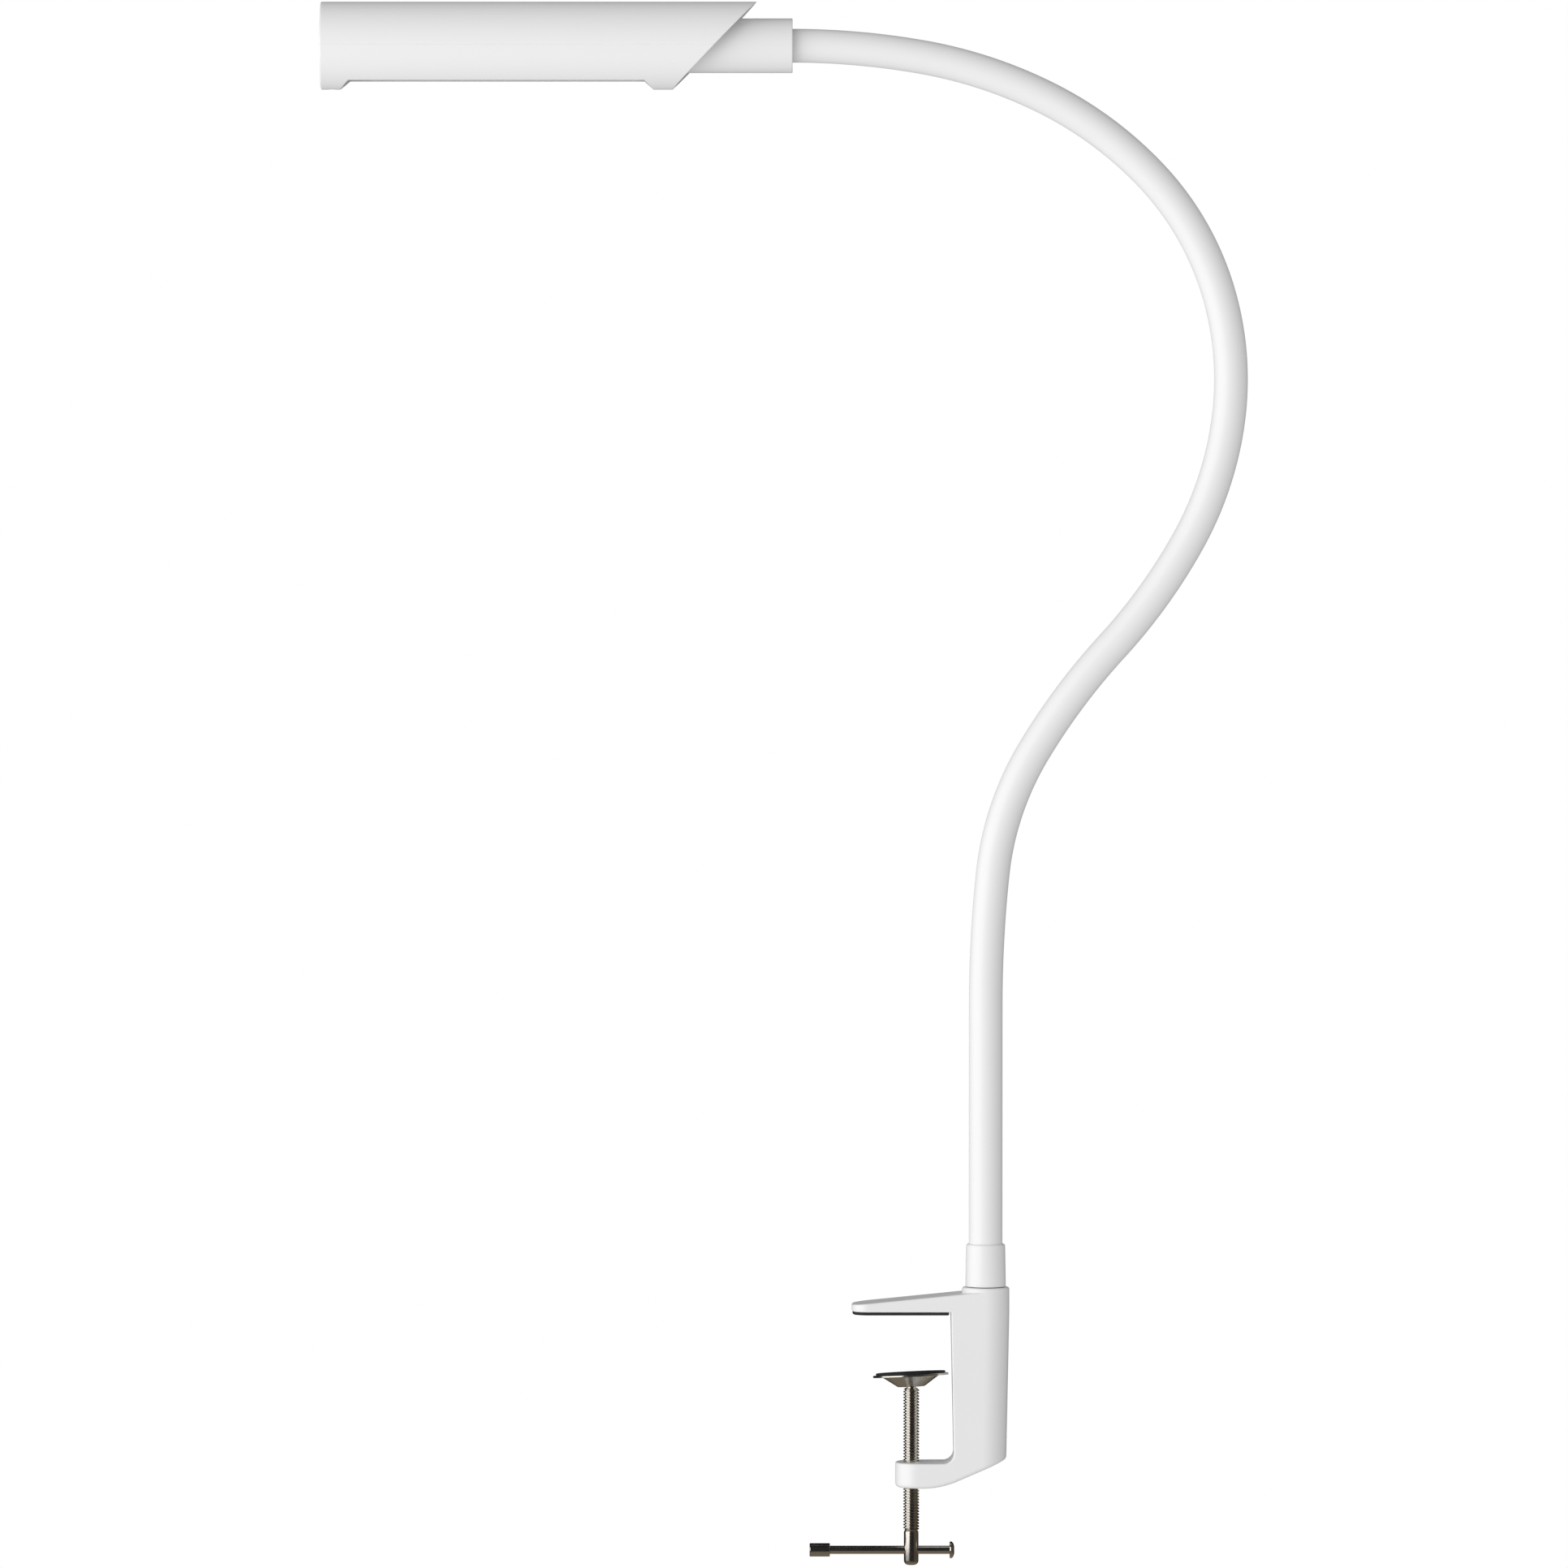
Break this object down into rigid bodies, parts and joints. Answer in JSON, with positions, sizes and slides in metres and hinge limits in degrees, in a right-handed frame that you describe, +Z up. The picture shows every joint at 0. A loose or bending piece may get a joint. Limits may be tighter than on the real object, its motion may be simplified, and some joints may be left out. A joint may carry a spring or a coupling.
{
  "type": "clamp-on gooseneck desk lamp",
  "caption": "Clamp-on desk lamp: tubular light head on a bendable white gooseneck, with a screw clamp, tilting pressure disc and sliding bar.",
  "frame": {"origin": "middle of the upper jaw pad's lower face, which lies on the desk top", "axes": "+Z up off the desk, the head reaches towards -X, the lamp at rest is symmetric about Y = 0 apart from small fittings"},
  "size_m": [0.4675, 0.0442, 0.7903],
  "materials": {
    "clamp_paint": "satin white powder coat on cast metal",
    "head_paint": "satin white paint on thin tube",
    "shade_plastic": "satin white moulded plastic",
    "bulkhead_plastic": "plain white moulded plastic",
    "ferrule_plastic": "smooth white plastic",
    "neck_sleeve_plastic": "soft white extruded plastic with a silky surface",
    "frosted_plastic": "frosted translucent sheet",
    "board_white": "white solder mask on a fibre board",
    "led_package": "yellow phosphor in a white package",
    "bush_plastic": "natural bearing plastic",
    "lead_insulation": "grey insulated lead inside the neck",
    "wire_insulation": "thin insulated wire",
    "pad_rubber": "matt black rubber",
    "inlet_rubber": "pale soft rubber grommet",
    "dark_chrome": "bright dark nickel plating",
    "disc_steel": "pressed and plated steel",
    "plated_steel": "zinc plated steel",
    "turned_steel": "turned steel",
    "spring_steel": "oiled gooseneck spring steel",
    "turned_aluminium": "turned aluminium",
    "carrier_aluminium": "extruded aluminium"
  },
  "bodies": {
    "clamp": {"clamp_body": "clamp_paint", "jaw_pad": "pad_rubber", "swivel_bush": "bush_plastic", "pivot_set_screw": "plated_steel", "cord_inlet": "inlet_rubber"},
    "foot": {"swivel_washer": "plated_steel"},
    "screw": {"clamp_screw": "dark_chrome"},
    "bar": {"tommy_bar": "dark_chrome", "tommy_bar_cap": "dark_chrome"},
    "disc": {"pressure_disc": "disc_steel", "disc_pad": "pad_rubber"},
    "neck_root": {"neck_pin": "turned_steel", "base_ferrule": "ferrule_plastic", "neck_sleeve_01": "neck_sleeve_plastic", "neck_core_01": "spring_steel", "neck_lead_01": "lead_insulation"},
    "neck_02": {"neck_sleeve_02": "neck_sleeve_plastic", "neck_core_02": "spring_steel", "neck_lead_02": "lead_insulation"},
    "neck_03": {"neck_sleeve_03": "neck_sleeve_plastic", "neck_core_03": "spring_steel", "neck_lead_03": "lead_insulation"},
    "neck_04": {"neck_sleeve_04": "neck_sleeve_plastic", "neck_core_04": "spring_steel", "neck_lead_04": "lead_insulation"},
    "neck_05": {"neck_sleeve_05": "neck_sleeve_plastic", "neck_core_05": "spring_steel", "neck_lead_05": "lead_insulation"},
    "neck_06": {"neck_sleeve_06": "neck_sleeve_plastic", "neck_core_06": "spring_steel", "neck_lead_06": "lead_insulation"},
    "neck_07": {"neck_sleeve_07": "neck_sleeve_plastic", "neck_core_07": "spring_steel", "neck_lead_07": "lead_insulation"},
    "neck_08": {"neck_sleeve_08": "neck_sleeve_plastic", "neck_core_08": "spring_steel", "neck_lead_08": "lead_insulation"},
    "neck_09": {"neck_sleeve_09": "neck_sleeve_plastic", "neck_core_09": "spring_steel", "neck_lead_09": "lead_insulation"},
    "neck_10": {"neck_sleeve_10": "neck_sleeve_plastic", "neck_core_10": "spring_steel", "neck_lead_10": "lead_insulation"},
    "hub": {"neck_sleeve_11": "neck_sleeve_plastic", "neck_core_11": "spring_steel", "neck_lead_11": "lead_insulation", "neck_socket": "turned_aluminium", "hub_tube": "head_paint", "hub_plug": "turned_aluminium", "spring_washer": "plated_steel", "pivot_nut": "plated_steel"},
    "shade": {"shade_bulkhead": "bulkhead_plastic", "shade_upper_shell": "shade_plastic", "shade_lower_shell": "shade_plastic", "diffuser": "frosted_plastic", "led_carrier": "carrier_aluminium", "led_board": "board_white", "led_chips": "led_package", "led_wires": "wire_insulation", "head_screws": "plated_steel"}
  },
  "joints": [
    {"name": "clamp_travel", "type": "slide", "parent": "clamp", "child": "foot", "axis": [0, 0, 1], "range_m": [-0.036, 0.021]},
    {"name": "screw_turn", "type": "hinge", "parent": "foot", "child": "screw", "pos_m": [0.0054, 0, -0.08], "axis": [0, 0, 1], "range_deg": [-8640, 5040]},
    {"name": "disc_tilt", "type": "hinge", "parent": "foot", "child": "disc", "pos_m": [0.0054, 0, -0.0366], "axis": [0.829, 0.5592, 0], "range_deg": [0, 10]},
    {"name": "tommy_bar_slide", "type": "slide", "parent": "screw", "child": "bar", "axis": [1, 0, 0], "range_m": [-0.0155, 0.0372]},
    {"name": "neck_swivel", "type": "hinge", "parent": "clamp", "child": "neck_root", "pos_m": [0.043, 0, 0.01355], "axis": [0, 0, 1], "range_deg": [-170, 170]},
    {"name": "neck_bend_01", "type": "hinge", "parent": "neck_root", "child": "neck_02", "pos_m": [0.043, 0, 0.157], "axis": [0, 1, 0], "range_deg": [-20, 20]},
    {"name": "neck_side_02", "type": "hinge", "parent": "neck_02", "child": "neck_03", "pos_m": [0.04645, 0, 0.22288], "axis": [0.9945, 0, -0.1045], "range_deg": [-20, 20]},
    {"name": "neck_bend_03", "type": "hinge", "parent": "neck_03", "child": "neck_04", "pos_m": [0.06723, 0, 0.28497], "axis": [0, 1, 0], "range_deg": [-20, 20]},
    {"name": "neck_bend_04", "type": "hinge", "parent": "neck_04", "child": "neck_05", "pos_m": [0.10665, 0, 0.33777], "axis": [0, 1, 0], "range_deg": [-20, 20]},
    {"name": "neck_side_05", "type": "hinge", "parent": "neck_05", "child": "neck_06", "pos_m": [0.14512, 0, 0.39121], "axis": [0.8746, 0, -0.4848], "range_deg": [-20, 20]},
    {"name": "neck_bend_06", "type": "hinge", "parent": "neck_06", "child": "neck_07", "pos_m": [0.16539, 0, 0.45359], "axis": [0, 1, 0], "range_deg": [-20, 20]},
    {"name": "neck_bend_07", "type": "hinge", "parent": "neck_07", "child": "neck_08", "pos_m": [0.1594, 0, 0.51882], "axis": [0, 1, 0], "range_deg": [-20, 20]},
    {"name": "neck_side_08", "type": "hinge", "parent": "neck_08", "child": "neck_09", "pos_m": [0.12619, 0, 0.5752], "axis": [0.7254, 0, 0.6884], "range_deg": [-20, 20]},
    {"name": "neck_bend_09", "type": "hinge", "parent": "neck_09", "child": "neck_10", "pos_m": [0.0734, 0, 0.61426], "axis": [0, 1, 0], "range_deg": [-20, 20]},
    {"name": "neck_bend_10", "type": "hinge", "parent": "neck_10", "child": "hub", "pos_m": [0.01094, 0, 0.63485], "axis": [0, 1, 0], "range_deg": [-20, 20]},
    {"name": "shade_turn", "type": "hinge", "parent": "hub", "child": "shade", "pos_m": [-0.05473, 0, 0.6406], "axis": [1, 0, 0], "range_deg": [-135, 135]}
  ],
  "couplings": [
    {"joint": "clamp_travel", "follows": "screw_turn", "m_per_rad": 0.00023873}
  ]
}
